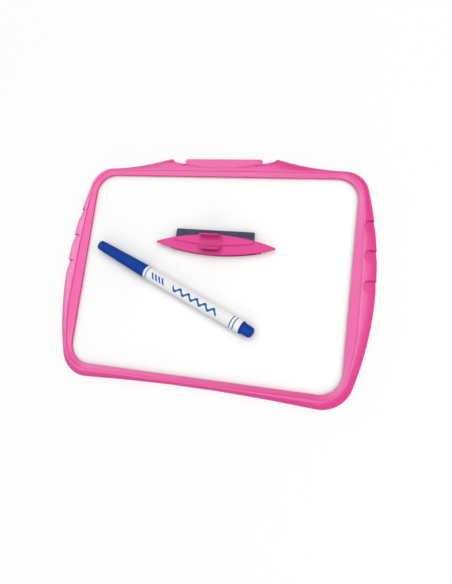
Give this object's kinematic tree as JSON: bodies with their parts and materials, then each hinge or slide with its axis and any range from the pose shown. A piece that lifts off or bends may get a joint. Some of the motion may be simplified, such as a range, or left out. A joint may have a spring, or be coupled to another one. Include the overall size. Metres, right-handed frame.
{
  "type": "double-sided whiteboard",
  "caption": "Hand-held double-sided dry-wipe board in a rounded plastic frame with finger grips and a dock tab, with its clip-on eraser and a slim capped marker lying on it.",
  "frame": {"origin": "middle of the board's footprint, at the level of the rear ridge that it rests on", "axes": "+X along the long side, +Y towards the dock tab, +Z out of the front writing face"},
  "size_m": [0.246, 0.1814, 0.0204],
  "materials": {
    "frame_pink": "moulded, satin gloss",
    "core_white": "sheet",
    "film_white": "glossy dry-wipe film",
    "eraser_pink": "moulded, satin",
    "felt_grey": "pressed felt",
    "adhesive_clear": "adhesive film",
    "marker_blue": "moulded, glossy",
    "barrel_white": "moulded, printed",
    "holder_white": "moulded",
    "nib_fibre": "inked fibre",
    "reservoir_fibre": "inked fibre",
    "sleeve_film": "clear film"
  },
  "bodies": {
    "board": {"frame_front_half": "frame_pink", "frame_rear_half": "frame_pink", "board_core": "core_white", "front_writing_film": "film_white", "rear_writing_film": "film_white"},
    "eraser": {"eraser_front_shell": "eraser_pink", "eraser_back_shell": "eraser_pink", "eraser_felt": "felt_grey", "felt_adhesive_strip": "adhesive_clear"},
    "marker_cap": {"marker_cap": "marker_blue"},
    "marker_pen": {"marker_barrel": "barrel_white", "nib_holder": "holder_white", "marker_nib": "nib_fibre", "ink_reservoir": "reservoir_fibre", "reservoir_sleeve": "sleeve_film", "marker_end_plug": "marker_blue"}
  },
  "joints": [
    {"name": "eraser_lift", "type": "slide", "parent": "board", "child": "eraser", "axis": [0, 0, 1], "range_m": [0, 0.12]},
    {"name": "marker_lift", "type": "slide", "parent": "board", "child": "marker_cap", "axis": [0, 0, 1], "range_m": [0, 0.12]},
    {"name": "uncap", "type": "slide", "parent": "marker_cap", "child": "marker_pen", "axis": [0.9157, -0.4019, 0], "range_m": [0, 0.045]}
  ]
}
